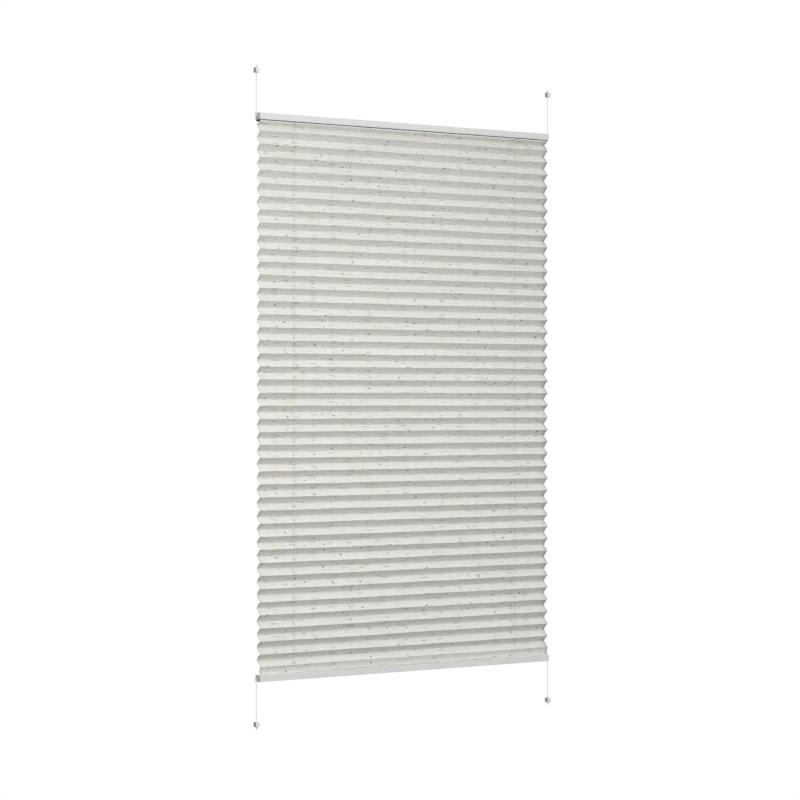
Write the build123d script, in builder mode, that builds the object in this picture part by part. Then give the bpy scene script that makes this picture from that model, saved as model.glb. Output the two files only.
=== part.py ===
# Tensioned pleated blind: two slim rails slide on two taut cords, with one folded sheet between them.
# Millimetres, +Z up, front towards -Y. The origin is midway between the two upper shoes, on the plane
# that they bear against.
import os
from math import sqrt

from build123d import *

os.makedirs("parts", exist_ok=True)

# Overall sizes
rail_length = 800.0
blind_drop = 1238.0
free_run = 87.3
overrun = 1.0

# Rail section: outer wall, cord chamber, web, strip channel, and two lips beside the fabric slot
rail_depth = 18.0
rail_height = 14.4
rail_wall = 1.2
rail_corner_radius = 0.8
web_thickness = 1.0
channel_height = 4.8
slot_width = 10.0

# End caps
cap_flange = 1.5
cap_rim = 1.8
cap_recess = 0.7
plug_length = 14.0
plug_clearance = 0.15
nose_radius = 1.7
nose_height = 8.4

# Cords (drawn with few sides), their holes and guides
cord_radius = 0.5
cord_sides = 8
cord_clearance = 0.4
cord_bend_radius = 1.5
cord_outset = 3.5
cord_hole_inset = 92.5
cord_stagger = 1.9
guide_flange_width = 5.0
guide_flange_thickness = 1.0
guide_width = 2.4
guide_clearance = 0.1
guide_bore_clearance = 0.3

# Fabric strips that hold the sheet's ends: the upper one has a foot under the rail, the lower one a groove
strip_thickness = 3.0
strip_clearance = 0.3
strip_groove_depth = 2.0
strip_groove_clearance = 0.2
foot_front = 6.5
foot_back = 8.2
foot_height = 3.8
foot_clearance = 0.1

# Pleated sheet
panel_height = 20.0
pleat_pitch_wanted = 28.5
sheet_thickness = 0.5
sheet_end_clearance = 0.3
punch_radius = 1.3
punch_sides = 6
top_edge_drop = 1.2
top_edge_clearance = 0.2
top_fold_drop = 3.9
first_valley_drop = 11.2
first_ridge_drop = 24.4
last_ridge_rise = 18.8
last_valley_rise = 5.0
last_pleat_share = 0.91

# Tension shoes
shoe_width = 8.5
shoe_height = 10.4
shoe_depth = 9.6
shoe_wall = 1.5
shoe_plate = 3.0
shoe_floor = 2.0
shoe_corner_radius = 0.8
cover_depth = 3.0
cover_wall = 1.2
cover_corner_radius = 1.0
tongue_length = 2.0
tongue_height = 1.4
tongue_clearance = 0.2
stop_width = 4.0
stop_height = 3.0
stop_chamfer = 0.6
stop_grip_length = 2.4
stop_clearance = 0.05

# Fixing screws: the shoes have slots for them, and the lower screws stand further to the front
screw_radius = 1.5
screw_neck_radius = 1.3
screw_shift = 1.0
screw_head_radius = 2.4
screw_head_height = 1.6
screw_stud_length = 4.2
screw_tip_length = 1.8
screw_hole_clearance = 0.1

# Sizes and heights that follow from the ones above
rail_cut_length = rail_length - 2 * cap_flange
inner_depth = rail_depth - 2 * rail_wall
chamber_height = rail_height - 2 * rail_wall - web_thickness - channel_height
web_start = rail_wall + chamber_height
channel_start = web_start + web_thickness
lip_start = rail_height - rail_wall
cord_height = rail_wall + chamber_height / 2
foot_start = rail_height + foot_clearance
foot_end = foot_start + foot_height
cord_x = rail_length / 2 + cord_outset
hole_x = rail_length / 2 - cord_hole_inset
top_rail_z = -shoe_height - free_run
bottom_rail_z = top_rail_z - blind_drop
lower_shoe_z = bottom_rail_z - free_run - shoe_height
sheet_top_z = top_rail_z - rail_height
sheet_bottom_z = bottom_rail_z + rail_height
sheet_width = rail_cut_length - 2 * sheet_end_clearance
strip_groove_width = sheet_thickness + 2 * strip_groove_clearance
guide_hole_width = guide_width + 2 * guide_clearance
tab_height = rail_wall + strip_groove_depth - strip_groove_clearance
pocket_width = shoe_width - 2 * shoe_wall
pocket_height = shoe_height - shoe_plate - shoe_floor

# Each rail: height of its outer face, the way from there to the fabric, and where the cord leaves
rails = {"top": (top_rail_z, -1, foot_end), "bottom": (bottom_rail_z, 1, rail_height)}
# Each shoe row: height of the bearing face, the way from there to the blind, and the screws' Y
shoe_rows = {"upper": (0, -1, 0), "lower": (lower_shoe_z, 1, -screw_shift)}
sides = {"left": -1, "right": 1}


def save(piece, node):
    """Name a finished piece and write it."""
    piece.part.label = node
    export_step(piece.part, f"parts/{node}.step")


def level_plane(level, inward, depth):
    """Level plane at a depth inside a rail: local Y stays +Y, local Z points to the fabric."""
    return Plane(origin=(0, 0, level + inward * depth), x_dir=(inward, 0, 0), z_dir=(0, 0, inward))


def hole_place(inward, side):
    """A cord hole of a rail or strip, in the local X and Y of its level plane."""
    return (inward * side * hole_x, side * cord_stagger)


def section_plane(level, inward, length):
    """Upright plane at the end of a rail-like length: local X is +Y, local Y points to the fabric."""
    return Plane(origin=(-inward * length / 2, 0, level), x_dir=(0, 1, 0), z_dir=(inward, 0, 0))


def route_plane(level, inward, side):
    """Upright plane of a cord in a rail: origin over the end cap, local X towards the far hole."""
    start = Vector(side * cord_x, 0, level)
    along = Vector(*hole_place(1, -side), level) - start
    return Plane(origin=start, x_dir=along, z_dir=along.cross(Vector(0, 0, inward)))


def route_points(side, cord_exit):
    """Cord through a rail: into the cap, along the chamber, and out towards the fabric."""
    run = (Vector(*hole_place(1, -side)) - Vector(side * cord_x, 0)).length
    return [(0, 0), (0, cord_height), (run, cord_height), (run, cord_exit)]


def shoe_plane(level, inward, side):
    """Bearing face of a shoe: local Y points to the front, local Z to the blind."""
    return Plane(origin=(side * cord_x, 0, level), x_dir=(-inward, 0, 0), z_dir=(0, 0, inward))


def make_rail(rail):
    """Hollow extrusion with a cord chamber, a strip channel and a slot for the fabric."""
    level, inward, _ = rails[rail]
    with BuildPart() as extrusion:
        with BuildSketch(section_plane(level, inward, rail_cut_length)):
            with Locations((0, rail_height / 2)):
                RectangleRounded(rail_depth, rail_height, rail_corner_radius)
            with Locations((0, cord_height)):
                Rectangle(inner_depth, chamber_height, mode=Mode.SUBTRACT)
            with Locations((0, channel_start + channel_height / 2)):
                Rectangle(inner_depth, channel_height, mode=Mode.SUBTRACT)
            with Locations((0, rail_height - rail_wall / 2)):
                Rectangle(slot_width, rail_wall + 2 * overrun, mode=Mode.SUBTRACT)
        extrude(amount=rail_cut_length)
        with BuildSketch(level_plane(level, inward, web_start - overrun)):
            with Locations(*(hole_place(inward, sign) for sign in sides.values())):
                Rectangle(guide_hole_width, guide_hole_width)
        extrude(amount=web_thickness + 2 * overrun, mode=Mode.SUBTRACT)
    save(extrusion, f"{rail}_rail")


def make_end_cap(rail, side):
    """Moulded cap: flange over the rail's end, plug in the chamber, and a nose that takes the cord in."""
    level, inward, _ = rails[rail]
    sign = sides[side]
    end = Plane(
        origin=(sign * rail_cut_length / 2, 0, level),
        x_dir=(0, inward * sign, 0),
        z_dir=(sign, 0, 0),
    )
    nose_reach = cord_x - rail_cut_length / 2
    with BuildPart() as cap:
        with BuildSketch(end):
            with Locations((0, rail_height / 2)):
                RectangleRounded(rail_depth, rail_height, rail_corner_radius)
        extrude(amount=cap_flange)
        with BuildSketch(end.offset(cap_flange - cap_recess)):
            with Locations((0, rail_height / 2)):
                Rectangle(rail_depth - 2 * cap_rim, rail_height - 2 * cap_rim)
        extrude(amount=cap_recess + overrun, mode=Mode.SUBTRACT)
        with BuildSketch(end):
            with Locations((0, cord_height)):
                Rectangle(inner_depth - 2 * plug_clearance, chamber_height - 2 * plug_clearance)
        extrude(amount=-plug_length)
        with BuildSketch(level_plane(level, inward, 0)):
            with Locations((inward * sign * cord_x, 0)):
                Circle(nose_radius)
            with Locations((inward * sign * (cord_x - nose_reach / 2), 0)):
                Rectangle(nose_reach, 2 * nose_radius)
        extrude(amount=nose_height)
        reach = cord_radius + cord_clearance
        plug_end = nose_reach + plug_length + overrun
        with BuildSketch(route_plane(level, inward, sign)):
            with BuildLine():
                Polyline(
                    (-reach, -overrun),
                    (reach, -overrun),
                    (reach, cord_height - reach),
                    (plug_end, cord_height - reach),
                    (plug_end, cord_height + reach),
                    (-reach, cord_height + reach),
                    close=True,
                )
            make_face()
        extrude(amount=reach, both=True, mode=Mode.SUBTRACT)
    save(cap, f"{rail}_rail_{side}_end_cap")


def make_strip(rail):
    """Bar behind the slot's lips: the upper one stands out as a foot, the lower one is grooved."""
    level, inward, cord_exit = rails[rail]
    length = rail_cut_length - 2 * strip_clearance
    with BuildPart() as strip:
        with BuildSketch(section_plane(level, inward, length)):
            with Locations((0, lip_start - strip_thickness / 2)):
                Rectangle(inner_depth - 2 * strip_clearance, strip_thickness)
            if rail == "top":
                with Locations((0, (lip_start + foot_start) / 2)):
                    Rectangle(slot_width - 2 * strip_clearance, foot_start - lip_start)
                with Locations(((foot_back - foot_front) / 2, foot_start + foot_height / 2)):
                    Rectangle(foot_front + foot_back, foot_height)
            else:
                with Locations((0, lip_start - strip_groove_depth / 2)):
                    Rectangle(strip_groove_width, strip_groove_depth, mode=Mode.SUBTRACT)
        extrude(amount=length)
        with BuildSketch(level_plane(level, inward, lip_start - strip_thickness - overrun)):
            with Locations(*(hole_place(inward, sign) for sign in sides.values())):
                Rectangle(guide_hole_width, guide_hole_width)
        extrude(amount=cord_exit - lip_start + strip_thickness + 2 * overrun, mode=Mode.SUBTRACT)
    save(strip, f"{rail}_fabric_strip")


def make_guide(rail, side):
    """Flanged insert: it sits on the web and leads the cord down through the strip."""
    level, inward, _ = rails[rail]
    place = hole_place(inward, sides[side])
    with BuildPart() as guide:
        with BuildSketch(level_plane(level, inward, web_start)):
            with Locations(place):
                Rectangle(guide_flange_width, guide_flange_width)
        extrude(amount=-guide_flange_thickness)
        with BuildSketch(level_plane(level, inward, web_start)):
            with Locations(place):
                Rectangle(guide_width, guide_width)
        extrude(amount=lip_start - web_start)
        with BuildSketch(level_plane(level, inward, web_start - guide_flange_thickness - overrun)):
            with Locations(place):
                Circle(cord_radius + guide_bore_clearance)
        extrude(amount=lip_start - web_start + guide_flange_thickness + 2 * overrun, mode=Mode.SUBTRACT)
    save(guide, f"{rail}_rail_{side}_cord_guide")


def make_rail_cord(rail, side):
    """Cord inside a rail, from one end cap to the hole on the other side."""
    level, inward, cord_exit = rails[rail]
    with BuildPart() as cord:
        with BuildLine(route_plane(level, inward, sides[side])) as route:
            FilletPolyline(*route_points(sides[side], cord_exit), radius=cord_bend_radius)
        with BuildSketch(Plane(origin=route.line @ 0, z_dir=route.line % 0)):
            RegularPolygon(cord_radius, cord_sides)
        sweep(path=route.line)
    save(cord, f"{rail}_rail_{side}_cord_run")


def make_shoe(row, side):
    """Tension shoe: bracket open to the front, its cover, the cord stop and the free cord to the rail."""
    level, inward, _ = shoe_rows[row]
    base = shoe_plane(level, inward, sides[side])
    cord_slot_width = 2 * (cord_radius + cord_clearance)
    with BuildPart() as bracket:
        with BuildSketch(base):
            Rectangle(shoe_width, shoe_depth)
        extrude(amount=shoe_height)
        back_edges = bracket.edges().filter_by(Axis.Z).group_by(Axis.Y)[-1]
        fillet(back_edges, shoe_corner_radius)
        with BuildSketch(base.offset(shoe_plate)):
            with Locations((0, shoe_wall / 2 + overrun / 2)):
                Rectangle(pocket_width, shoe_depth - shoe_wall + overrun)
        extrude(amount=pocket_height, mode=Mode.SUBTRACT)
        with BuildSketch(base.offset(-overrun)):
            SlotCenterToCenter(2 * screw_shift, 2 * (screw_radius + screw_hole_clearance), rotation=90)
        extrude(amount=shoe_plate + 2 * overrun, mode=Mode.SUBTRACT)
        with BuildSketch(base.offset(shoe_height - shoe_floor - overrun)):
            with Locations((0, (shoe_depth / 2 + overrun - cord_slot_width / 2) / 2)):
                Rectangle(cord_slot_width, shoe_depth / 2 + overrun + cord_slot_width / 2)
        extrude(amount=shoe_floor + 2 * overrun, mode=Mode.SUBTRACT)
    save(bracket, f"{row}_{side}_shoe_bracket")

    with BuildPart() as cover:
        with BuildSketch(base):
            with Locations((0, shoe_depth / 2 + cover_depth / 2)):
                Rectangle(shoe_width, cover_depth)
        extrude(amount=shoe_height)
        front_face = cover.faces().sort_by(Axis.Y)[0]
        fillet(front_face.edges(), cover_corner_radius)
        with BuildSketch(base.offset(cover_wall)):
            with Locations((0, shoe_depth / 2 + (cover_depth - cover_wall) / 2)):
                Rectangle(shoe_width - 2 * cover_wall, cover_depth - cover_wall)
        extrude(amount=shoe_height - 2 * cover_wall, mode=Mode.SUBTRACT)
        tongue_reach = cover_depth + tongue_length - cover_wall
        with BuildSketch(base.offset(shoe_plate + tongue_clearance + screw_head_height)):
            with Locations((0, shoe_depth / 2 - tongue_length + tongue_reach / 2)):
                Rectangle(pocket_width - 2 * tongue_clearance, tongue_reach)
        extrude(amount=tongue_height)
    save(cover, f"{row}_{side}_shoe_cover")

    with BuildPart() as stop:
        with BuildSketch(base.offset(shoe_height - shoe_floor)):
            Rectangle(stop_width, stop_width)
        extrude(amount=-stop_height)
        corners = stop.edges().filter_by(Axis.Z)
        chamfer(corners, stop_chamfer)
        with BuildSketch(base.offset(shoe_height - shoe_floor)):
            RegularPolygon(cord_radius + stop_clearance, cord_sides)
        extrude(amount=-stop_grip_length, mode=Mode.SUBTRACT)
    save(stop, f"{row}_{side}_cord_stop")

    with BuildPart() as cord:
        with BuildSketch(base.offset(shoe_height - shoe_floor - stop_grip_length)):
            RegularPolygon(cord_radius, cord_sides)
        extrude(amount=stop_grip_length + shoe_floor + free_run)
    save(cord, f"{row}_{side}_cord_run")


def make_screws():
    """Four alike screws, head in the shoe and tip standing out of the bearing face."""
    with BuildPart() as screws:
        for level, inward, screw_y in shoe_rows.values():
            for sign in sides.values():
                foot = Vector(sign * cord_x, screw_y, level)
                with BuildSketch(Plane(origin=foot, x_dir=(1, 0, 0), z_dir=(0, -inward, 0))):
                    with BuildLine():
                        Polyline(
                            (0, shoe_plate + screw_head_height),
                            (screw_head_radius, shoe_plate + screw_head_height),
                            (screw_head_radius, shoe_plate),
                            (screw_neck_radius, shoe_plate),
                            (screw_neck_radius, 0),
                            (screw_radius, 0),
                            (screw_radius, -screw_stud_length),
                            (0, -screw_stud_length - screw_tip_length),
                            close=True,
                        )
                    make_face()
                revolve(axis=Axis(foot, (0, 0, 1)))
    save(screws, "fixing_screws")


def fold_line():
    """Centre line of the folded sheet from the upper rail to the lower one, as (Y, Z) points."""
    drop = sheet_top_z - sheet_bottom_z
    folded_drop = drop - first_ridge_drop - last_ridge_rise
    pleats = round(folded_drop / pleat_pitch_wanted - last_pleat_share)
    pitch = folded_drop / (pleats + last_pleat_share)
    half_depth = sqrt(panel_height**2 - (pitch / 2) ** 2) / 2
    first_ridge_z = sheet_top_z - first_ridge_drop
    top_edge_y = -foot_front - top_edge_clearance - sheet_thickness / 2
    points = [
        (top_edge_y, sheet_top_z - top_edge_drop),
        (top_edge_y, sheet_top_z - top_fold_drop),
        (half_depth, sheet_top_z - first_valley_drop),
    ]
    for pleat in range(pleats):
        points.append((-half_depth, first_ridge_z - pleat * pitch))
        points.append((half_depth, first_ridge_z - (pleat + 1 / 2) * pitch))
    last_full_ridge_z = first_ridge_z - pleats * pitch
    points += [
        (-half_depth, last_full_ridge_z),
        (half_depth, last_full_ridge_z - last_pleat_share * pitch / 2),
        (-half_depth, sheet_bottom_z + last_ridge_rise),
        (half_depth, sheet_bottom_z + last_valley_rise),
        (0, sheet_bottom_z),
        (0, sheet_bottom_z - tab_height),
    ]
    return points


def make_sheet():
    """One folded sheet, with a punched hole in every panel for each cord."""
    centre = fold_line()
    front = [(y - sheet_thickness / 2, z) for y, z in centre]
    back = [(y + sheet_thickness / 2, z) for y, z in centre]
    with BuildPart() as sheet:
        with BuildSketch(Plane(origin=(-sheet_width / 2, 0, 0), x_dir=(0, 1, 0), z_dir=(1, 0, 0))):
            with BuildLine():
                Polyline(*front, *reversed(back), close=True)
            make_face()
        extrude(amount=sheet_width)
        with BuildSketch(Plane.XY.offset(sheet_bottom_z)):
            with Locations(*(hole_place(1, sign) for sign in sides.values())):
                RegularPolygon(punch_radius, punch_sides)
        extrude(amount=sheet_top_z - sheet_bottom_z, mode=Mode.SUBTRACT)
    save(sheet, "pleated_fabric")


def make_middle_cord(side):
    """Cord between the rails, through the punched holes."""
    with BuildPart() as cord:
        with BuildSketch(Plane.XY.offset(sheet_bottom_z)):
            with Locations(hole_place(1, sides[side])):
                RegularPolygon(cord_radius, cord_sides)
        extrude(amount=top_rail_z - foot_end - sheet_bottom_z)
    save(cord, f"middle_{side}_cord_run")


for rail_name in rails:
    make_rail(rail_name)
    make_strip(rail_name)
    for side_name in sides:
        make_end_cap(rail_name, side_name)
        make_guide(rail_name, side_name)
        make_rail_cord(rail_name, side_name)
for row_name in shoe_rows:
    for side_name in sides:
        make_shoe(row_name, side_name)
make_screws()
make_sheet()
for side_name in sides:
    make_middle_cord(side_name)
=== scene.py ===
"""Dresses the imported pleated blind.

Folded linen-look fabric, braided cords, coated rails, moulded end caps and shoes, and the studio round them.
"""

from types import SimpleNamespace

import bpy
import numpy as np
from bpy.props import FloatProperty, FloatVectorProperty, IntProperty, PointerProperty
from bpy.types import Operator, Panel, PropertyGroup
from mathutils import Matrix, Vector


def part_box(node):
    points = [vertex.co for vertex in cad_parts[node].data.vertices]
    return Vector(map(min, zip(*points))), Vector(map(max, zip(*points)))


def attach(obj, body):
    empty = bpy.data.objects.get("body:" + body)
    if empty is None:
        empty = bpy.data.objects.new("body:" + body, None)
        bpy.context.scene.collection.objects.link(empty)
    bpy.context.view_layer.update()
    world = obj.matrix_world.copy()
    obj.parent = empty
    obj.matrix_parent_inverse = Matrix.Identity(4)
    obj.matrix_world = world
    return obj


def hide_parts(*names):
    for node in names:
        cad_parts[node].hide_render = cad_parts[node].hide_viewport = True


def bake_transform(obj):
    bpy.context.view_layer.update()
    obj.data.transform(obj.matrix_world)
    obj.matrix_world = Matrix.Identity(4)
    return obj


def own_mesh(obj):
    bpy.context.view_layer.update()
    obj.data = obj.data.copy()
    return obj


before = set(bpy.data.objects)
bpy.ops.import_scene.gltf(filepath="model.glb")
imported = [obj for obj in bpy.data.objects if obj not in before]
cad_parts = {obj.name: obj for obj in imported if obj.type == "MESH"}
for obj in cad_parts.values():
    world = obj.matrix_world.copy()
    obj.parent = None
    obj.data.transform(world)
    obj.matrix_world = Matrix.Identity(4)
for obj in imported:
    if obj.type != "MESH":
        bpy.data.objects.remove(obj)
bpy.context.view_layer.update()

bl_info = {
    "name": "Pleated blind",
    "version": (1, 0, 0),
    "blender": (4, 5, 0),
    "location": "3D View > Sidebar > Blind",
    "description": "Builds the fabric, cords, finishes and studio of a tensioned pleated blind",
    "category": "Object",
}

RAILS = ("top", "bottom")
ROWS = ("upper", "lower")
SIDES = ("left", "right")

# Change of depth over length from which a panel faces down, and from which a cord can cross it
DOWN_SHARE = 0.05
HOLE_SHARE = 0.1
# Panels shorter than this stay flat, in metres
SHORT_PANEL = 0.01
# Sag at the top of the fabric and its growth to the bottom, as shares of the setting
SAG_TOP, SAG_GROWTH = 0.3, 2.0
# Room that a hole needs to a fold, in punch radii
HOLE_ROOM = 1.4
# Reach of a cord's bend, in cord radii
BEND_REACH = 12


def colour_setting(name, description, default):
    """A colour that the panel shows with a swatch, as linear red, green and blue."""
    return FloatVectorProperty(
        name=name, description=description, default=default, size=3, subtype="COLOR", min=0.0, max=1.0
    )


def length_setting(name, description, default):
    """A length in metres."""
    return FloatProperty(
        name=name, description=description, default=default, min=0.0, unit="LENGTH", precision=5
    )


def share_setting(name, description, default):
    """A share from nothing to all."""
    return FloatProperty(
        name=name, description=description, default=default, min=0.0, max=1.0, subtype="FACTOR"
    )


def power_setting(name, description, default):
    """A lamp's power in watts."""
    return FloatProperty(name=name, description=description, default=default, min=0.0, unit="POWER")


class FabricSettings(PropertyGroup):
    """Sizes and colours of the folded fabric."""

    thickness: length_setting("Thickness", "Thickness of the fabric", 0.00035)
    fold_round: length_setting("Fold round", "Length over which a front fold bends to each side", 0.0008)
    back_round: length_setting("Back round", "Length over which a back fold bends to each side", 0.002)
    fold_wander: length_setting("Fold wander", "How far a fold strays from its straight line", 0.0007)
    panel_bow: length_setting("Panel bow", "How far a panel bows by chance between its folds", 0.00025)
    panel_sag: length_setting("Panel sag", "How far panels that face down bow upwards, a third down", 0.0008)
    hem_drop: length_setting("Hem drop", "How far the hem's edge lies below its place in the CAD", 0.0006)
    last_turn: length_setting("Last turn", "Height of the last panel's turn above the rail", 0.0005)
    last_lean: share_setting("Last lean", "Lean of the last panel, as a share of its height", 0.08)
    punch_radius: length_setting("Punch radius", "Radius of the punched cord holes, seen from above", 0.0013)
    thread_pitch: length_setting("Thread pitch", "Distance between neighbouring threads", 0.0005)
    columns: IntProperty(name="Columns", description="Grid columns across the fabric", default=77, min=8)
    row_step: length_setting("Row step", "Distance between the grid's rows on a panel", 0.0021)
    grain: share_setting("Grain", "Strength of the fine grain", 0.90)
    streaks: share_setting("Streaks", "Strength of the streaks along the threads", 0.50)
    # Painted shading: the grain and streaks vary more on the panels that face down, standing in for light that
    # grazes their relief
    grazing_shade: share_setting("Underside", "How much coarser the panels look that face down", 1.0)
    # Painted shade: darkness of a broken line along the back folds, where shade falls
    crease_shade: share_setting("Crease", "Darkness of the broken line in the back folds", 0.08)
    relief: length_setting("Relief", "Height of the grain and the streaks", 0.0006)
    # Painted shade: the dark rim round each cord hole stands in for the shade in the hole and the cord's shadow
    hole_rim_shade: share_setting("Hole rims", "Darkness of the fused hole rims", 0.65)
    ground: colour_setting("Ground", "Colour of the plain weave", (0.815, 0.802, 0.758))
    slub: colour_setting("Slub", "Colour of the thick dark threads", (0.330, 0.300, 0.255))
    straw: colour_setting("Straw", "Colour of the faint straw patches", (0.740, 0.710, 0.560))
    # Painted light: the hem is lighter to stand in for light on the fabric's top edge, which the top rail
    # shades
    hem: colour_setting("Hem", "Colour of the fused edge under the top rail", (0.950, 0.950, 0.935))
    seed: IntProperty(name="Seed", description="Seed of the folds' stray", default=7, min=0)


class FinishSettings(PropertyGroup):
    """Colours of the hard pieces and the cords."""

    rail: colour_setting("Rail", "Powder coat of the rails", (0.785, 0.785, 0.782))
    cap: colour_setting("End cap", "Plastic of the end caps", (0.590, 0.590, 0.585))
    # Partly painted shade: the strips are dark plastic, made nearly black to stand in for the shade in the gap
    # under the top rail
    strip: colour_setting("Strip", "Plastic of the fabric strips", (0.010, 0.010, 0.010))
    guide: colour_setting("Guide", "Plastic of the cord guides", (0.640, 0.640, 0.630))
    shoe: colour_setting("Shoe", "Plastic of the shoe brackets", (0.310, 0.310, 0.308))
    cover: colour_setting("Cover", "Plastic of the shoe covers", (0.880, 0.880, 0.875))
    stop: colour_setting("Stop", "Plastic of the cord stops", (0.600, 0.600, 0.590))
    # One yarn in two tones: the runs in the rails and the fabric are painted lighter, as painted light against
    # the shade of the folds, and the free ends keep the darker tone
    free_cord: colour_setting("Free cord", "Yarn of the cords' greyer free ends", (0.580, 0.580, 0.570))
    cord: colour_setting("Cord", "Yarn of the cords in the rails and the fabric", (0.820, 0.820, 0.805))
    screw: colour_setting("Screw", "Zinc plate of the screws", (0.420, 0.430, 0.440))
    screw_thread: length_setting("Screw thread", "Outer radius of the screws' thread", 0.0015)
    screw_head: length_setting("Screw head", "Radius of the screws' heads", 0.0024)
    screw_pitch: length_setting("Screw pitch", "Height of one turn of the screws' thread", 0.0009)
    cord_level: length_setting("Cord level", "Depth of the cord below a rail's outer face", 0.0043)


class StageSettings(PropertyGroup):
    """Camera, light and floor."""

    camera_place: FloatVectorProperty(
        name="Camera", description="Place of the camera", default=(-3.405, -4.800, -0.7227), size=3,
        unit="LENGTH",
    )
    camera_aim: FloatVectorProperty(
        name="Aim", description="Way the camera looks", default=(0.57619, 0.81733, 0.0), size=3,
        subtype="DIRECTION",
    )
    lens: FloatProperty(
        name="Lens", description="Focal length in millimetres", default=117.0, min=1.0, unit="CAMERA"
    )
    sky: FloatProperty(name="Sky", description="Light from above and around", default=0.60, min=0.0)
    ground_light: FloatProperty(name="Ground", description="Light from below", default=0.08, min=0.0)
    front_power: power_setting("Front light", "Power of the soft light in front", 14.8)
    high_power: power_setting("High light", "Power of the large soft light above the front", 8.5)
    high_aim: FloatProperty(
        name="High aim", description="Height that the high light is aimed at", default=-2.4, unit="LENGTH"
    )
    high_spread: FloatProperty(
        name="High spread", description="Cone of the high light", default=0.9, subtype="ANGLE"
    )
    side_power: power_setting("Side light", "Power of the soft light on the left", 9.0)
    back_power: power_setting("Back light", "Power of the large soft light above the back", 120.0)
    floor_drop: length_setting("Floor", "Depth of the floor below the origin", 3.4)
    floor_reach: length_setting("Floor reach", "Radius of the floor", 2.2)


class BlindSettings(PropertyGroup):
    """All settings of the blind."""

    fabric: PointerProperty(type=FabricSettings)
    finish: PointerProperty(type=FinishSettings)
    stage: PointerProperty(type=StageSettings)


def centre(node):
    """Middle of a CAD node's box."""
    low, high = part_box(node)
    return (np.array(low) + np.array(high)) / 2


# Node graph helpers


def add(tree, kind, sockets=None, **values):
    """A node in a tree, with its own properties set and its sockets fed."""
    node = tree.nodes.new(kind)
    for name, value in values.items():
        setattr(node, name, value)
    for socket, value in (sockets or {}).items():
        feed(tree, node, socket, value)
    return node


def feed(tree, node, socket, value):
    """Links an output to a socket, or sets the socket's own value."""
    if isinstance(value, bpy.types.NodeSocket):
        tree.links.new(value, node.inputs[socket])
    else:
        node.inputs[socket].default_value = value


def maths(tree, operation, first, second=0.0, third=0.0):
    """One step of arithmetic."""
    return add(tree, "ShaderNodeMath", {0: first, 1: second, 2: third}, operation=operation).outputs[0]


def blend_colour(tree, share, first, second):
    """Mix of two colours by a share."""
    return add(tree, "ShaderNodeMix", {0: share, 6: first, 7: second}, data_type="RGBA").outputs[2]


def stretch(tree, vector, scale):
    """Coordinates scaled along each axis."""
    return add(tree, "ShaderNodeMapping", {"Vector": vector, "Scale": scale}).outputs[0]


def noise(tree, vector, scale, detail):
    """Noise value from 0 to 1."""
    sockets = {"Vector": vector, "Scale": scale, "Detail": detail}
    return add(tree, "ShaderNodeTexNoise", sockets).outputs[0]


def ramp(tree, value, low, high):
    """Smooth step of a value between two levels."""
    sockets = {"Value": value, "From Min": low, "From Max": high}
    return add(tree, "ShaderNodeMapRange", sockets, interpolation_type="SMOOTHSTEP").outputs[0]


def new_group(name, inputs, outputs):
    """Empty node group with named sockets: (group, its input node, its output node)."""
    group = bpy.data.node_groups.new(name, "ShaderNodeTree")
    for label, kind, default in inputs:
        socket = group.interface.new_socket(label, in_out="INPUT", socket_type=kind)
        if default is not None:
            socket.default_value = default
    for label, kind in outputs:
        group.interface.new_socket(label, in_out="OUTPUT", socket_type=kind)
    return group, group.nodes.new("NodeGroupInput"), group.nodes.new("NodeGroupOutput")


def moulding_group():
    """Surface of moulded or coated pieces: fine grain as a height, and a slow mottle as a mask."""
    found = bpy.data.node_groups.get("moulded_grain")
    if found:
        return found
    group, given, out = new_group(
        "moulded_grain",
        [
            ("Vector", "NodeSocketVector", None),
            ("Grain", "NodeSocketFloat", 4000.0),
            ("Mottle", "NodeSocketFloat", 60.0),
        ],
        [("Height", "NodeSocketFloat"), ("Mask", "NodeSocketFloat")],
    )
    fine = noise(group, given.outputs["Vector"], given.outputs["Grain"], 3.0)
    slow = noise(group, given.outputs["Vector"], given.outputs["Mottle"], 2.0)
    group.links.new(fine, out.inputs["Height"])
    group.links.new(ramp(group, slow, 0.3, 0.7), out.inputs["Mask"])
    return group


def bump(tree, shader, height, strength, distance):
    """Relief of a shader by a height."""
    sockets = {"Strength": strength, "Distance": distance, "Height": height}
    feed(tree, shader, "Normal", add(tree, "ShaderNodeBump", sockets).outputs[0])


def seen_directly(tree):
    """1 for rays that come from the camera, a mirror or a clear surface, and 0 for others."""
    path = add(tree, "ShaderNodeLightPath")
    seen = maths(tree, "MAXIMUM", path.outputs["Is Camera Ray"], path.outputs["Is Glossy Ray"])
    return maths(tree, "MAXIMUM", seen, path.outputs["Is Transmission Ray"])


def uv_map(tree, name):
    """Places on a UV map."""
    return add(tree, "ShaderNodeUVMap", uv_map=name).outputs[0]


def new_material(name):
    """Material with a Principled shader: (material, tree, shader)."""
    material = bpy.data.materials.new(name)
    material.use_nodes = True
    tree = material.node_tree
    return material, tree, tree.nodes["Principled BSDF"]


def shade(colour, factor):
    """A colour made darker or lighter, with alpha."""
    return (*(min(1.0, channel * factor) for channel in colour), 1.0)


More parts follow.
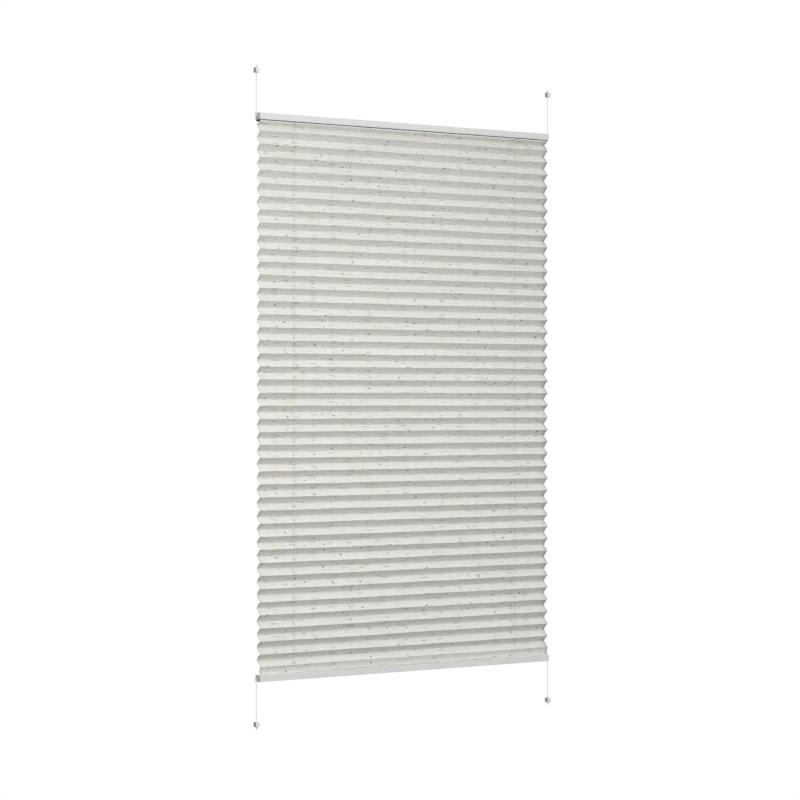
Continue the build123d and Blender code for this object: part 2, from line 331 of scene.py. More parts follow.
def moulded_material(name, colour, roughness, grain, strength, contrast, specular=0.5, metallic=0.0):
    """Moulded, coated or plated finish: a fine grain of so many waves in a metre and so strong a relief, and a
    mottle that varies the colour by its contrast and the roughness a little."""
    material, tree, shader = new_material(name)
    place = add(tree, "ShaderNodeTexCoord").outputs["Object"]
    group = add(tree, "ShaderNodeGroup", {"Vector": place, "Grain": grain}, node_tree=moulding_group())
    mask = group.outputs["Mask"]
    low, high = shade(colour, 1 - contrast), shade(colour, 1 + contrast)
    feed(tree, shader, "Base Color", blend_colour(tree, mask, low, high))
    feed(tree, shader, "Roughness", maths(tree, "MULTIPLY_ADD", mask, 0.08, roughness - 0.04))
    feed(tree, shader, "Specular IOR Level", specular)
    feed(tree, shader, "Metallic", metallic)
    bump(tree, shader, group.outputs["Height"], strength, 0.0001)
    return material


def specks(tree, sheet, scale, share, small, large):
    """Scattered spots on the sheet: one in each chosen cell of a Voronoi pattern, of a size by chance."""
    sockets = {"Vector": stretch(tree, sheet, scale), "Scale": 1.0}
    cells = add(tree, "ShaderNodeTexVoronoi", sockets, voronoi_dimensions="2D")
    pick = add(tree, "ShaderNodeSeparateColor", {0: cells.outputs["Color"]})
    reach = maths(tree, "MULTIPLY_ADD", pick.outputs[1], large - small, small)
    spot = ramp(tree, cells.outputs["Distance"], reach, maths(tree, "MULTIPLY", reach, 0.5))
    chosen = ramp(tree, pick.outputs[0], 1.0 - share, 1.01 - share)
    strength = maths(tree, "MULTIPLY_ADD", pick.outputs[2], 0.6, 0.4)
    return maths(tree, "MULTIPLY", maths(tree, "MULTIPLY", spot, chosen), strength)


def sheet_noise(tree, sheet, across, along, detail):
    """Noise with so many waves in a metre across and along the sheet."""
    return noise(tree, stretch(tree, sheet, (across, along, 1.0)), 1.0, detail)


def fabric_material(settings):
    """Linen-look weave on the sheet's own UV map in metres: threads, grain, streaks, dark slubs and straw
    patches. Its tone varies more on the panels that face down, as painted shading for light that grazes them,
    and it has a broken line of painted shade in the back folds, a pale hem of painted light under the top rail,
    and a dark rim of painted shade round each cord hole."""
    material, tree, shader = new_material("pleat_linen")
    sheet = uv_map(tree, "sheet_metres")
    split = add(tree, "ShaderNodeSeparateXYZ", {0: sheet})
    across, along = split.outputs[0], split.outputs[1]
    turn = 2 * np.pi / settings.thread_pitch
    weft = maths(tree, "SINE", maths(tree, "MULTIPLY", along, turn))
    warp = maths(tree, "SINE", maths(tree, "MULTIPLY", across, turn))
    weave = maths(tree, "MULTIPLY", weft, warp)
    grain = sheet_noise(tree, sheet, 300.0, 420.0, 1.0)
    streak = sheet_noise(tree, sheet, 22.0, 430.0, 2.0)
    thread = sheet_noise(tree, sheet, 40.0, 1600.0, 2.0)
    drift = sheet_noise(tree, sheet, 3.0, 9.0, 1.0)
    patch = sheet_noise(tree, sheet, 26.0, 48.0, 1.0)
    dark = ramp(tree, streak, 0.57, 0.68)
    fold = add(tree, "ShaderNodeSeparateXYZ", {0: uv_map(tree, "fold_metres")})
    broken = ramp(tree, sheet_noise(tree, sheet, 30.0, 60.0, 1.0), 0.45, 0.60)
    # Painted shade along the back folds
    crease_shade = maths(tree, "MULTIPLY", ramp(tree, fold.outputs[0], 0.0022, 0.0006), broken)
    # Painted shading: more tone contrast on the panels that face down, for light that grazes them
    grazing_shade_gain = maths(tree, "MULTIPLY_ADD", fold.outputs[1], settings.grazing_shade, 1.0)
    # Painted light: a pale band at the hem under the top rail
    hem = ramp(tree, along, 0.0031, 0.0025)
    fleck = specks(tree, sheet, (40.0, 58.0, 1.0), 0.22, 0.07, 0.17)
    slub = specks(tree, sheet, (20.0, 150.0, 1.0), 0.26, 0.12, 0.28)
    straw = maths(tree, "MULTIPLY", ramp(tree, patch, 0.62, 0.76), 0.5)
    # Painted shade round each cord hole, for the hole's shade and the cord's shadow
    rim = add(tree, "ShaderNodeVectorMath", {0: uv_map(tree, "hole_radii")}, operation="LENGTH")
    rim = maths(tree, "MULTIPLY", ramp(tree, rim.outputs["Value"], 1.75, 1.25), settings.hole_rim_shade)
    threads, drifts = 0.25, 0.15
    tone = -0.5 * (settings.grain + settings.streaks + threads)
    for wave, strength in ((grain, settings.grain), (streak, settings.streaks), (thread, threads)):
        tone = maths(tree, "MULTIPLY_ADD", wave, strength, tone)
    tone = maths(tree, "MULTIPLY_ADD", dark, -settings.streaks, tone)
    middle = maths(tree, "MULTIPLY_ADD", drift, drifts, 0.5 - 0.5 * drifts)
    tone = maths(tree, "MULTIPLY_ADD", tone, grazing_shade_gain, middle)
    tone = maths(tree, "MULTIPLY_ADD", crease_shade, -settings.crease_shade, tone)
    colour = blend_colour(tree, tone, shade(settings.ground, 0.8), shade(settings.ground, 1.2))
    colour = blend_colour(tree, straw, colour, shade(settings.straw, 1.0))
    colour = blend_colour(tree, maths(tree, "MULTIPLY", slub, 0.62), colour, shade(settings.slub, 1.0))
    colour = blend_colour(tree, fleck, colour, shade(settings.slub, 0.55))
    colour = blend_colour(tree, hem, colour, shade(settings.hem, 1.0))
    colour = blend_colour(tree, rim, colour, shade(settings.slub, 0.5))
    feed(tree, shader, "Base Color", colour)
    feed(tree, shader, "Roughness", maths(tree, "MULTIPLY_ADD", streak, 0.12, 0.80))
    feed(tree, shader, "Specular IOR Level", 0.25)
    feed(tree, shader, "Sheen Weight", 0.08)
    feed(tree, shader, "Sheen Roughness", 0.5)
    height = maths(tree, "MULTIPLY", weave, 0.00003)
    for wave, size in ((thread, 0.00004), (grain, settings.relief), (streak, settings.relief), (slub, 0.0001)):
        height = maths(tree, "MULTIPLY_ADD", wave, size, height)
    bump(tree, shader, height, 1.0, 1.0)
    return material


def cord_material(name, colour):
    """Braided yarn on the cord's UV map: two crossing sets of strands as relief and tone."""
    material, tree, shader = new_material(name)
    strands, pitch = 4, 0.0016
    split = add(tree, "ShaderNodeSeparateXYZ", {0: uv_map(tree, "cord_turns")})
    around = maths(tree, "MULTIPLY", split.outputs[0], strands * 2 * np.pi)
    along = maths(tree, "MULTIPLY", split.outputs[1], 2 * np.pi / pitch)
    right = maths(tree, "SINE", maths(tree, "ADD", around, along))
    left = maths(tree, "SINE", maths(tree, "SUBTRACT", around, along))
    braid = maths(tree, "MAXIMUM", right, left)
    mask = ramp(tree, braid, -0.2, 1.0)
    low, high = shade(colour, 0.72), shade(colour, 1.12)
    feed(tree, shader, "Base Color", blend_colour(tree, mask, low, high))
    feed(tree, shader, "Roughness", maths(tree, "MULTIPLY_ADD", mask, -0.1, 0.8))
    feed(tree, shader, "Sheen Weight", 0.1)
    bump(tree, shader, braid, 0.6, 0.0001)
    return material


def dress(node, material):
    """Gives a CAD node a finish, on the object and not on its mesh."""
    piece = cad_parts[node]
    if not piece.material_slots:
        piece.data.materials.append(None)
    for place in piece.material_slots:
        place.link = "OBJECT"
        place.material = material


# Meshes from arrays


def new_piece(name, points, faces, material, maps=None):
    """Mesh object from arrays: points (n, 3), faces as index rows, and a pair per point for each UV map."""
    mesh = bpy.data.meshes.new(name)
    mesh.from_pydata(points, [], faces)
    corners = np.empty(len(mesh.loops), dtype=np.int32)
    mesh.loops.foreach_get("vertex_index", corners)
    for label, uv in (maps or {}).items():
        layer = mesh.uv_layers.new(name=label)
        layer.data.foreach_set("uv", np.asarray(uv, dtype=np.float32)[corners].ravel())
    mesh.polygons.foreach_set("use_smooth", np.ones(len(mesh.polygons), dtype=bool))
    mesh.materials.append(material)
    mesh.validate()
    mesh.update()
    piece = bpy.data.objects.new(name, mesh)
    bpy.context.scene.collection.objects.link(piece)
    return piece


def grid_faces(rows, columns):
    """Index rows of the quads of a grid, as an array (rows - 1, columns - 1, 4)."""
    index = np.arange(rows * columns).reshape(rows, columns)
    return np.stack([index[:-1, :-1], index[1:, :-1], index[1:, 1:], index[:-1, 1:]], axis=-1)


def ring_faces(rows, sides):
    """Index rows of the quads of a grid whose last column joins its first, and the grid's own indices."""
    index = np.arange(rows * sides).reshape(rows, sides)
    beside = np.roll(index, -1, axis=1)
    return np.stack([index[:-1], index[1:], beside[1:], beside[:-1]], axis=-1).reshape(-1, 4), index


def drop_unused(points, maps, faces):
    """Leaves out points that no face uses, with their places in the UV maps."""
    used = np.unique(faces)
    fresh = np.full(len(points), -1)
    fresh[used] = np.arange(len(used))
    return points[used], [one[used] for one in maps], fresh[faces]


def fold_line():
    """Fold points of the CAD sheet from the top down, as depth and height: its left end's corners, front and
    back averaged at each height. The hem's edge lies a little lower, and the last panel hangs nearly straight
    down from its front fold and turns in just above the bottom rail."""
    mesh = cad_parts["pleated_fabric"].data
    points = np.empty(len(mesh.vertices) * 3)
    mesh.vertices.foreach_get("co", points)
    points = points.reshape(-1, 3)
    end = points[points[:, 0] < points[:, 0].min() + 1e-5]
    heights, place = np.unique(np.round(end[:, 2], 5), return_inverse=True)
    depths = np.bincount(place, end[:, 1]) / np.bincount(place)
    fabric = bpy.context.scene.pleated_blind.fabric
    rail, turn, front, hem = 1, 2, 3, -1
    heights[hem] -= fabric.hem_drop
    heights[turn] = heights[rail] + fabric.last_turn
    depths[turn] = depths[front] + fabric.last_lean * (heights[front] - heights[turn])
    return depths[::-1], heights[::-1]


def fold_stray(settings, folds, x):
    """How far each fold strays along x, as depth and height: sine waves of falling length with seeded phases,
    and none where the fabric is held at its ends."""
    chance = np.random.default_rng(settings.seed)
    waves = np.array([0.83, 0.36, 0.155, 0.074, 0.045])
    sizes = np.array([0.40, 0.25, 0.20, 0.16, 0.13])
    phases = chance.uniform(0, 2 * np.pi, (2, folds, len(waves), 1))
    swing = np.sin(2 * np.pi * x / waves[:, None] + phases)
    stray = settings.fold_wander * (sizes[:, None] * swing).sum(axis=2)
    held = np.minimum(1, np.maximum(0, np.minimum(np.arange(folds), folds - 1 - np.arange(folds)) - 1) / 2)
    return stray * held[None, :, None]


def panel_offsets(length, upper, lower, step, marks):
    """Places of a panel's grid rows from its upper fold: close together in the folds' rounds, and in even steps
    between the marks, so that a row runs through each hole's centre."""
    upper, lower = min(upper, length / 3), min(lower, length / 3)
    stops = np.array([0, upper, *sorted(marks), length - lower, length])
    steps = np.full(len(stops) - 1, step)
    steps[[0, -1]] = np.minimum(0.6 * step, np.array([upper, lower]) / 2)
    parts = [
        np.linspace(start, end, max(1, round((end - start) / size)), endpoint=False)
        for start, end, size in zip(stops[:-1], stops[1:], steps)
    ]
    return np.concatenate(parts)


def sheet_plan(settings):
    """The line of folds and what follows from it.

    Each panel has a length, a direction, a sag, and the place of each cord hole along it, or nan where there is
    none. Each fold has its length along the sheet, a round and a stray. The back folds are rounder than the
    pressed front folds. The panels that face down sag more towards the bottom, where less fabric pulls on them.
    The grid's columns x lie evenly, with five at each column of holes."""
    depths, heights = fold_line()
    lengths = np.hypot(np.diff(depths), np.diff(heights))
    way = np.stack([np.diff(depths), np.diff(heights)]) / lengths
    low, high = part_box("pleated_fabric")
    holes = np.array([centre(f"middle_{side}_cord_run")[:2] for side in SIDES])
    punch = settings.punch_radius
    x = np.linspace(low[0], high[0], settings.columns)
    x = x[np.abs(x[:, None] - holes[:, 0]).min(axis=1) > 5 * punch]
    x = np.sort(np.concatenate([x, (holes[:, :1] + punch * np.arange(-2, 3)).ravel()]))
    fall = (heights[0] - heights[:-1]) / (heights[0] - heights[-1])
    sagging = (way[0] > DOWN_SHARE) & (lengths > SHORT_PANEL)
    sag = settings.panel_sag * np.where(sagging, SAG_TOP + SAG_GROWTH * fall, 0.0)
    steep = np.where(np.abs(way[0]) > HOLE_SHARE, way[0], np.nan)
    hole_at = (holes[None, :, 1] - depths[:-1, None]) / steep[:, None]
    hole_at -= sag[:, None] * np.sin(np.pi * hole_at / lengths[:, None])
    room = HOLE_ROOM * punch
    hole_at[~((hole_at > room) & (hole_at < lengths[:, None] - room))] = np.nan
    return SimpleNamespace(
        depths=depths, heights=heights, lengths=lengths, way=way, sag=sag, holes=holes, hole_at=hole_at, x=x,
        starts=np.concatenate([[0], np.cumsum(lengths)]),
        rounds=np.where(depths > 0, settings.back_round, settings.fold_round),
        stray=fold_stray(settings, len(depths), x),
        width=high[0] - low[0],
    )


def sheet_rows(settings, plan, first, last):
    """Rows of the grid from fold first to fold last: the length s of each along the sheet, its panel, and for
    each cord hole its row, its column, half its length on the sheet, and whether an ellipse has room."""
    rows, panel_of, blocks, count = [], [], [], 0
    for panel in range(first, last):
        hole_at = plan.hole_at[panel]
        marks = hole_at[~np.isnan(hole_at)]
        upper, lower = plan.rounds[panel], plan.rounds[panel + 1]
        offsets = panel_offsets(plan.lengths[panel], upper, lower, settings.row_step, marks)
        half_length = settings.punch_radius / abs(plan.way[0, panel]) if len(marks) else 0.0
        for mark in marks:
            hole_x = plan.holes[int(np.nanargmin(np.abs(hole_at - mark))), 0]
            row = int(np.argmin(np.abs(offsets - mark)))
            column = int(np.argmin(np.abs(plan.x - hole_x)))
            blocks.append((count + row, column, half_length, 2 <= row <= len(offsets) - 2))
        rows.append(plan.starts[panel] + offsets)
        panel_of.append(np.full(len(offsets), panel))
        count += len(offsets)
    rows = np.concatenate([*rows, [plan.starts[last]]])
    return rows, np.concatenate([*panel_of, [last - 1]]), blocks


def punch_holes(settings, across, along, blocks):
    """Draws a block of four by four cells round each cord hole in to an ellipse, and gives the grid's faces
    without the inner cells of the blocks."""
    faces = grid_faces(*across.shape)
    keep = np.ones(faces.shape[:2], dtype=bool)
    steps = np.arange(-2, 3)
    side, up = np.meshgrid(steps / 2, steps / 2)
    ring = np.maximum(np.abs(side), np.abs(up)) == 0.5
    turn = np.hypot(side, up) + ~ring
    for row, column, half_length, full in blocks:
        keep[row - 1 : row + 1, column - 1 : column + 1] = False
        if full:
            block = np.ix_(row + steps, column + steps)
            wide = across[row, column] + settings.punch_radius * side / turn
            long = along[row, column] + half_length * up / turn
            across[block] = np.where(ring, wide, across[block])
            along[block] = np.where(ring, long, along[block])
    return faces[keep]


def bend_sheet(settings, plan, across, along, panel_of):
    """Depth and height of the grid's points.

    The line of folds gives both at the length s along the sheet. Near a fold, the running mean over the fold's
    round adds (round - distance)^2 / (4 round) times the change of direction. Each fold's stray is spread over
    its two panels, and a panel bows as half a sine between its folds, by chance and by its sag."""
    panel = panel_of[:, None]
    depth = np.interp(along, plan.starts, plan.depths)
    height = np.interp(along, plan.starts, plan.heights)
    change = np.zeros((2, len(plan.starts)))
    change[:, 1:-1] = np.diff(plan.way, axis=1)
    share = (along - plan.starts[panel]) / plan.lengths[panel]
    nearest = panel + (share > 0.5)
    distance = np.abs(along - plan.starts[nearest])
    rounds = plan.rounds[nearest]
    lift = np.maximum(0, rounds - distance) ** 2 / (4 * rounds)
    depth += change[0][nearest] * lift
    height += change[1][nearest] * lift

    share = np.clip(share, 0, 1)
    columns = np.arange(across.shape[1])[None, :]
    stray = (1 - share) * plan.stray[:, panel, columns] + share * plan.stray[:, panel + 1, columns]
    wave, turn = 0.61, 1.7
    bow = settings.panel_bow * np.cos(panel * turn) * np.cos(2 * np.pi * across / wave + panel)
    bow = (bow + plan.sag[panel]) * np.sin(np.pi * share)
    depth += stray[0] - bow * plan.way[1][panel]
    height += stray[1] + bow * plan.way[0][panel]
    return depth, height


def sheet_maps(settings, plan, across, along, panel_of):
    """UV maps of the grid's points: x and s in metres, the distance from the nearest hole's centre in hole
    radii, and the distance along s from the panel's back fold with 1 on the panels that face down."""
    panel = panel_of[:, None]
    start = plan.starts[panel]
    beside = np.argmin(np.abs(across[:, :, None] - plan.holes[:, 0]), axis=2)
    hole_s = start + np.nan_to_num(plan.hole_at, nan=1.0)[panel, beside]
    fore = np.abs(along - hole_s) * np.abs(plan.way[0])[panel]
    from_hole = np.stack([np.abs(across - plan.holes[beside, 0]), fore], axis=-1) / settings.punch_radius
    down = np.broadcast_to((plan.way[0] > DOWN_SHARE)[panel], across.shape)
    behind = np.where(down, plan.starts[panel + 1], start)
    from_fold = np.stack([np.abs(along - behind), down], axis=-1)
    flat = np.stack([across, along], axis=-1)
    return [one.reshape(-1, 2) for one in (flat, from_hole, from_fold)]


def fabric_part(settings, plan, material, name, first, last):
    """Part of the sheet from fold first to fold last, its width and its flat length: a grid over the width x
    and the length s along the sheet, with its cord holes, bent to the line of folds and given its thickness."""
    rows, panel_of, blocks = sheet_rows(settings, plan, first, last)
    across, along = np.meshgrid(plan.x, rows)
    faces = punch_holes(settings, across, along, blocks)
    depth, height = bend_sheet(settings, plan, across, along, panel_of)
    points = np.stack([across, depth, height], axis=-1).reshape(-1, 3)
    maps = sheet_maps(settings, plan, across, along, panel_of)
    points, maps, faces = drop_unused(points, maps, faces)
    maps = dict(zip(("sheet_metres", "hole_radii", "fold_metres"), maps))
    piece = new_piece(name, points, faces, material, maps)
    wall = piece.modifiers.new("thickness", "SOLIDIFY")
    wall.thickness = settings.thickness
    wall.offset = 0.0
    return piece, plan.width, plan.starts[last] - plan.starts[first]


def spline_line(route):
    """Points of a cord's smooth line, read from a NURBS spline of order 3 that the route controls."""
    curve = bpy.data.curves.new("cord_route", "CURVE")
    curve.dimensions = "3D"
    spline = curve.splines.new("NURBS")
    spline.points.add(len(route) - 1)
    spline.points.foreach_set("co", np.column_stack([route, np.ones(len(route))]).ravel())
    spline.order_u = 3
    spline.use_endpoint_u = True
    spline.resolution_u = 16
    holder = bpy.data.objects.new("cord_route", curve)
    bpy.context.scene.collection.objects.link(holder)
    bpy.context.view_layer.update()
    mesh = bpy.data.meshes.new_from_object(holder)
    line = np.empty(len(mesh.vertices) * 3)
    mesh.vertices.foreach_get("co", line)
    bpy.data.objects.remove(holder)
    bpy.data.curves.remove(curve)
    bpy.data.meshes.remove(mesh)
    return line.reshape(-1, 3)


def cord_tube(name, route, radius, material, sides=12):
    """Round cord: a circle carried along the spline's points, square to its direction, with closed ends."""
    line = spline_line(np.asarray(route, dtype=float))
    way = np.gradient(line, axis=0)
    way /= np.linalg.norm(way, axis=1, keepdims=True)
    across = np.cross(way, (0.0, 1.0, 0.0))
    across /= np.linalg.norm(across, axis=1, keepdims=True)
    other = np.cross(way, across)
    turn = np.linspace(0, 2 * np.pi, sides, endpoint=False)
    ring = np.cos(turn)[None, :, None] * across[:, None] + np.sin(turn)[None, :, None] * other[:, None]
    points = (line[:, None] + radius * ring).reshape(-1, 3)
    quads, index = ring_faces(len(line), sides)
    faces = [*quads[:, [0, 3, 2, 1]].tolist(), index[0, ::-1].tolist(), index[-1].tolist()]
    run = np.concatenate([[0], np.cumsum(np.linalg.norm(np.diff(line, axis=0), axis=1))])
    fold = 1 - np.abs(2 * np.arange(sides) / sides - 1)
    uv = np.stack(np.broadcast_arrays(fold[None, :], run[:, None]), axis=-1).reshape(-1, 2)
    piece = new_piece(name, points, faces, material, {"cord_turns": uv})
    return piece, line, run[-1]


def middle_fold():
    """Number and height of the back fold that is nearest to the middle of the fabric."""
    depths, heights = fold_line()
    low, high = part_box("pleated_fabric")
    off = np.abs(heights - (low[2] + high[2]) / 2) + 1.0 * (depths < 0)
    fold = int(np.argmin(off))
    return fold, float(heights[fold])


def gather(piece):
    """Hangs a piece of the upper or lower half on the fixings' body, with a mesh of its own."""
    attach(piece, "fixings")
    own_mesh(piece)


# Operators


class BLIND_OT_fabric(Operator):
    """Folds the fabric in two halves that meet at the middle fold, and a hem under the top rail"""

    bl_idname = "blind.fabric"
    bl_label = "Fold the fabric"

    def execute(self, context):
        settings = context.scene.pleated_blind.fabric
        material = fabric_material(settings)
        plan = sheet_plan(settings)
        fold, height = middle_fold()
        last = len(plan.depths) - 1
        hem, _, hem_length = fabric_part(settings, plan, material, "pleated_fabric_hem", 0, 1)
        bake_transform(hem)
        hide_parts("pleated_fabric")
        for half, start, end, more in (("upper", 1, fold, hem_length), ("lower", fold, last, 0.0)):
            name = f"pleated_fabric_{half}"
            piece, width, length = fabric_part(settings, plan, material, name, start, end)
            gather(piece)
            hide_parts("pleated_fabric")
        return {"FINISHED"}


class BLIND_OT_cords(Operator):
    """Runs the cords from the shoes through the rails and the fabric"""

    bl_idname = "blind.cords"
    bl_label = "Run the cords"

    def execute(self, context):
        finish = context.scene.pleated_blind.finish
        free = cord_material("cord_braid_free", finish.free_cord)
        # Lighter copy of the cord's yarn, painted light against the shade of the folds
        material = cord_material("cord_braid_painted_light", finish.cord)
        _, middle = middle_fold()
        low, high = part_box("upper_left_cord_run")
        radius = (high[1] - low[1]) / 2
        near = BEND_REACH * radius
        for row, rail, inward in (("upper", "top", -1), ("lower", "bottom", 1)):
            for side in SIDES:
                self.outer_run(row, rail, side, inward, radius, near, free)
                self.rail_run(rail, side, inward, radius, near, material)
                self.middle_run(row, side, inward, radius, near, middle, material)
        return {"FINISHED"}

    def outer_run(self, row, rail, side, inward, radius, near, material):
        """Taut run from the stop in a shoe to the nose of an end cap."""
        node = f"{row}_{side}_cord_run"
        low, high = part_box(node)
        x, y, _ = centre(node)
        start, end = (high[2], low[2]) if inward < 0 else (low[2], high[2])
        route = [(x, y, start), (x, y, end - inward * near), (x, y, end)]
        piece, line, length = cord_tube(f"{row}_{side}_free_cord", route, radius, material)
        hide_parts(node)
        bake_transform(piece)

    def rail_run(self, rail, side, inward, radius, near, material):
        """Run inside a rail: into the end cap, along the chamber and out at the far guide."""
        node = f"{rail}_rail_{side}_cord_run"
        low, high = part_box(node)
        enter = centre(f"{'upper' if rail == 'top' else 'lower'}_{side}_cord_run")
        leave = centre(f"middle_{'right' if side == 'left' else 'left'}_cord_run")
        outer, fabric_side = (high[2], low[2]) if inward < 0 else (low[2], high[2])
        level = outer + inward * bpy.context.scene.pleated_blind.finish.cord_level
        way = np.array([leave[0] - enter[0], leave[1] - enter[1]])
        way *= near / np.linalg.norm(way)
        route = [
            (enter[0], enter[1], outer),
            (enter[0], enter[1], level),
            (enter[0] + way[0], enter[1] + way[1], level),
            (leave[0] - way[0], leave[1] - way[1], level),
            (leave[0], leave[1], level),
            (leave[0], leave[1], fabric_side),
        ]
        piece, _, _ = cord_tube(f"{rail}_rail_{side}_inner_cord", route, radius, material)
        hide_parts(node)
        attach(piece, f"{rail}_rail")

    def middle_run(self, row, side, inward, radius, near, middle, material):
        """Run from a rail through the punched holes to the middle fold."""
        node = f"middle_{side}_cord_run"
        low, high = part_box(node)
        x, y, _ = centre(node)
        start = high[2] if inward < 0 else low[2]
        route = [(x, y, start), (x, y, start + inward * near), (x, y, middle)]
        piece, line, length = cord_tube(f"middle_{side}_{row}_cord", route, radius, material)
        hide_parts(node)
        gather(piece)


class BLIND_OT_rails(Operator):
    """Coats the rails and finishes their strips and cord guides"""

    bl_idname = "blind.rails"
    bl_label = "Finish the rails"

    def execute(self, context):
        finish = context.scene.pleated_blind.finish
        coat = moulded_material("rail_powder_coat", finish.rail, 0.42, 5000.0, 0.12, 0.012)
        # Nearly black strip plastic, partly painted shade for the gap under the top rail
        strip = moulded_material("strip_plastic_painted_shade", finish.strip, 0.60, 3000.0, 0.1, 0.15, specular=0.2)
        guide = moulded_material("guide_white_plastic", finish.guide, 0.40, 3000.0, 0.08, 0.02)
        for rail in RAILS:
            dress(f"{rail}_rail", coat)
            dress(f"{rail}_fabric_strip", strip)
            for side in SIDES:
                dress(f"{rail}_rail_{side}_cord_guide", guide)
        return {"FINISHED"}


class BLIND_OT_caps(Operator):
    """Finishes the four end caps of the rails"""

    bl_idname = "blind.caps"
    bl_label = "Finish the end caps"

    def execute(self, context):
        finish = context.scene.pleated_blind.finish
        material = moulded_material("cap_grey_plastic", finish.cap, 0.48, 3500.0, 0.15, 0.05)
        for rail in RAILS:
            for side in SIDES:
                dress(f"{rail}_rail_{side}_end_cap", material)
        return {"FINISHED"}


class BLIND_OT_shoes(Operator):
    """Finishes the four tension shoes with their covers and cord stops"""

    bl_idname = "blind.shoes"
    bl_label = "Finish the shoes"

    def execute(self, context):
        finish = context.scene.pleated_blind.finish
        bracket = moulded_material("shoe_grey_plastic", finish.shoe, 0.50, 3500.0, 0.15, 0.05)
        cover = moulded_material("cover_white_plastic", finish.cover, 0.30, 3000.0, 0.06, 0.015)
        stop = moulded_material("stop_white_plastic", finish.stop, 0.40, 3000.0, 0.08, 0.03)
        for row in ROWS:
            for side in SIDES:
                dress(f"{row}_{side}_shoe_bracket", bracket)
                dress(f"{row}_{side}_shoe_cover", cover)
                dress(f"{row}_{side}_cord_stop", stop)
        return {"FINISHED"}


class BLIND_OT_screws(Operator):
    """Turns the four fixing screws with their threads"""

    bl_idname = "blind.screws"
    bl_label = "Turn the screws"

    def execute(self, context):
        finish = context.scene.pleated_blind.finish
        material = moulded_material("screw_zinc_plate", finish.screw, 0.34, 6000.0, 0.1, 0.06, metallic=1.0)
        low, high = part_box("fixing_screws")
        points, faces = [], []
        for row, outward in (("upper", 1), ("lower", -1)):
            for side in SIDES:
                x = centre(f"{row}_{side}_cord_run")[0]
                tip = (x, 0.0, high[2]) if row == "upper" else (x, low[1] + finish.screw_head, low[2])
                one, quads = self.screw(finish, tip, outward, high[2])
                faces.append(quads + sum(len(done) for done in points))
                points.append(one)
        piece = new_piece("fixing_screws_threaded", np.concatenate(points), np.concatenate(faces), material)
        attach(piece, "fixings")
        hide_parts("fixing_screws")
        return {"FINISHED"}

    def screw(self, finish, tip, outward, stud):
        """One screw: a profile from the tip to the domed head, turned round its axis. On the stud the radius
        falls by a ridge wave of height along the axis minus turn, which makes the thread."""
        thread_start, neck_length, steps, sides = 0.0004, 0.0030, 60, 24
        point_down, point_radius = [0.0, 0.0002], [0.00002, 0.00015]
        thread = np.linspace(thread_start, stud, steps)
        neck = stud + np.array([0.0, neck_length - 0.00005, neck_length])
        head = stud + neck_length + np.array([0.0, 0.0001, 0.0011, 0.0015, 0.0016])
        down = np.concatenate([point_down, thread, neck, head])
        cone = np.minimum(finish.screw_thread, 0.00025 + 0.75 * (thread - 0.0003))
        core = np.full(len(neck), 0.87 * finish.screw_thread)
        dome = finish.screw_head * np.array([0.96, 1.0, 0.96, 0.75, 0.01])
        radius = np.concatenate([point_radius, cone, core, dome])
        depth = np.where((down >= thread_start) & (down < stud), 0.23 * radius, 0.0)
        turn = np.linspace(0, 2 * np.pi, sides, endpoint=False)
        phase = (down[:, None] / finish.screw_pitch - turn[None, :] / (2 * np.pi)) % 1.0
        spread = radius[:, None] - depth[:, None] * np.abs(2 * phase - 1)
        x = tip[0] + spread * np.cos(turn)
        y = tip[1] + spread * np.sin(turn)
        z = np.broadcast_to(tip[2] - outward * down[:, None], x.shape)
        quads, _ = ring_faces(*x.shape)
        quads = quads if outward > 0 else quads[:, ::-1]
        return np.stack([x, y, z], axis=-1).reshape(-1, 3), quads


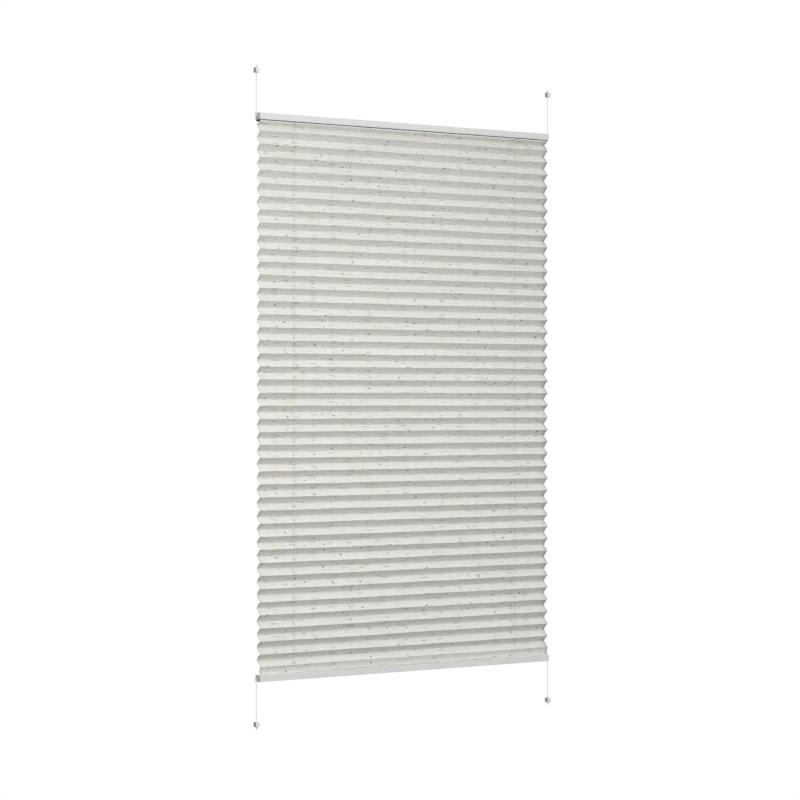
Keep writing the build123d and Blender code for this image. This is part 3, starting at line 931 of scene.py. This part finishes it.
class BLIND_OT_stage(Operator):
    """Sets the camera, the soft light, the white surroundings and the pale floor"""

    bl_idname = "blind.stage"
    bl_label = "Set the stage"

    def execute(self, context):
        settings = context.scene.pleated_blind.stage
        scene = context.scene
        scene.view_settings.view_transform = "Standard"
        self.camera(scene, settings)
        self.world(scene, settings)
        self.lamp(scene, "soft_front", (-0.4, -1.8, -0.3), 1.0, settings.front_power)
        high = (settings.high_power, settings.high_aim, settings.high_spread)
        self.lamp(scene, "soft_high", (0.0, -4.5, 3.2), 4.0, *high)
        self.lamp(scene, "soft_side", (-2.2, -0.8, 0.3), 1.2, settings.side_power)
        self.lamp(scene, "soft_back", (1.0, 4.5, 2.4), 4.0, settings.back_power)
        self.floor(scene, settings)
        return {"FINISHED"}

    def camera(self, scene, settings):
        """Level camera at the photo's place."""
        data = bpy.data.cameras.new("photo_camera")
        data.sensor_width = 36.0
        data.lens = settings.lens
        data.clip_end = 100.0
        camera = bpy.data.objects.new("photo_camera", data)
        camera.location = settings.camera_place
        camera.rotation_euler = Vector(settings.camera_aim).to_track_quat("-Z", "Y").to_euler()
        scene.collection.objects.link(camera)
        scene.camera = camera

    def world(self, scene, settings):
        """Light that is stronger from above than from below, and white where it is seen or mirrored."""
        world = bpy.data.worlds.new("soft_room")
        scene.world = world
        world.use_nodes = True
        tree = world.node_tree
        tree.nodes.clear()
        place = add(tree, "ShaderNodeTexCoord").outputs["Generated"]
        way = add(tree, "ShaderNodeSeparateXYZ", {0: place})
        rise = ramp(tree, way.outputs[2], -0.6, 0.6)
        sockets = {"Value": rise, "To Min": settings.ground_light, "To Max": settings.sky}
        light = add(tree, "ShaderNodeMapRange", sockets).outputs[0]
        white = (1.0, 1.0, 1.0, 1.0)
        room = add(tree, "ShaderNodeBackground", {"Color": white, "Strength": light}).outputs[0]
        plain = add(tree, "ShaderNodeBackground", {"Color": white, "Strength": 1.0}).outputs[0]
        mix = add(tree, "ShaderNodeMixShader", {0: seen_directly(tree), 1: room, 2: plain})
        add(tree, "ShaderNodeOutputWorld", {0: mix.outputs[0]})

    def lamp(self, scene, name, place, size, power, aim=-0.5, spread=np.pi):
        """Square soft light at a place, aimed at a height on the blind's axis."""
        data = bpy.data.lights.new(name, "AREA")
        data.shape = "SQUARE"
        data.size = size
        data.energy = power
        data.spread = spread
        lamp = bpy.data.objects.new(name, data)
        lamp.location = place
        lamp.rotation_euler = (Vector((0.0, 0.0, aim)) - lamp.location).to_track_quat("-Z", "Y").to_euler()
        lamp.visible_camera = False
        scene.collection.objects.link(lamp)

    def floor(self, scene, settings):
        """Round pale floor: a grid over radius and turn, which fades to white towards its rim."""
        radius = np.linspace(0.02, settings.floor_reach, 12)
        turn = np.linspace(0, 2 * np.pi, 64, endpoint=False)
        x = radius[:, None] * np.cos(turn)
        y = radius[:, None] * np.sin(turn)
        z = np.full_like(x, -settings.floor_drop)
        quads, index = ring_faces(*x.shape)
        faces = [*quads.tolist(), index[0].tolist()]
        material, tree, shader = new_material("studio_floor")
        place = add(tree, "ShaderNodeTexCoord").outputs["Object"]
        level = stretch(tree, place, (1.0, 1.0, 0.0))
        flat = add(tree, "ShaderNodeVectorMath", {0: level}, operation="LENGTH")
        rim = ramp(tree, flat.outputs["Value"], 0.5 * settings.floor_reach, 0.97 * settings.floor_reach)
        feed(tree, shader, "Base Color", (0.86, 0.86, 0.86, 1.0))
        feed(tree, shader, "Roughness", 0.9)
        feed(tree, shader, "Specular IOR Level", 0.1)
        glow = add(tree, "ShaderNodeEmission", {"Strength": 1.0}).outputs[0]
        share = maths(tree, "MULTIPLY", rim, seen_directly(tree))
        mix = add(tree, "ShaderNodeMixShader", {0: share, 1: shader.outputs[0], 2: glow})
        feed(tree, tree.nodes["Material Output"], 0, mix.outputs[0])
        points = np.stack([x, y, z], axis=-1).reshape(-1, 3)
        new_piece("studio_floor", points, faces, material)


class BLIND_PT_panel(Panel):
    """Lists the blind's settings and steps"""

    bl_idname = "BLIND_PT_panel"
    bl_label = "Pleated blind"
    bl_space_type = "VIEW_3D"
    bl_region_type = "UI"
    bl_category = "Blind"

    def draw(self, context):
        settings = context.scene.pleated_blind
        for group in (settings.fabric, settings.finish, settings.stage):
            box = self.layout.box()
            for name in group.bl_rna.properties.keys():
                if name not in {"rna_type", "name"}:
                    box.prop(group, name)
        for step in STEPS:
            self.layout.operator(step.bl_idname)


STEPS = (
    BLIND_OT_cords,
    BLIND_OT_fabric,
    BLIND_OT_rails,
    BLIND_OT_caps,
    BLIND_OT_shoes,
    BLIND_OT_screws,
    BLIND_OT_stage,
)
CLASSES = (FabricSettings, FinishSettings, StageSettings, BlindSettings, *STEPS, BLIND_PT_panel)


def register():
    for kind in CLASSES:
        bpy.utils.register_class(kind)
    bpy.types.Scene.pleated_blind = PointerProperty(type=BlindSettings)


def unregister():
    del bpy.types.Scene.pleated_blind
    for kind in reversed(CLASSES):
        bpy.utils.unregister_class(kind)


def main():
    """Registers the add-on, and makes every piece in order."""
    register()
    bpy.ops.blind.cords()
    bpy.ops.blind.fabric()
    bpy.ops.blind.rails()
    bpy.ops.blind.caps()
    bpy.ops.blind.shoes()
    bpy.ops.blind.screws()
    bpy.ops.blind.stage()


if __name__ == "__main__":
    main()
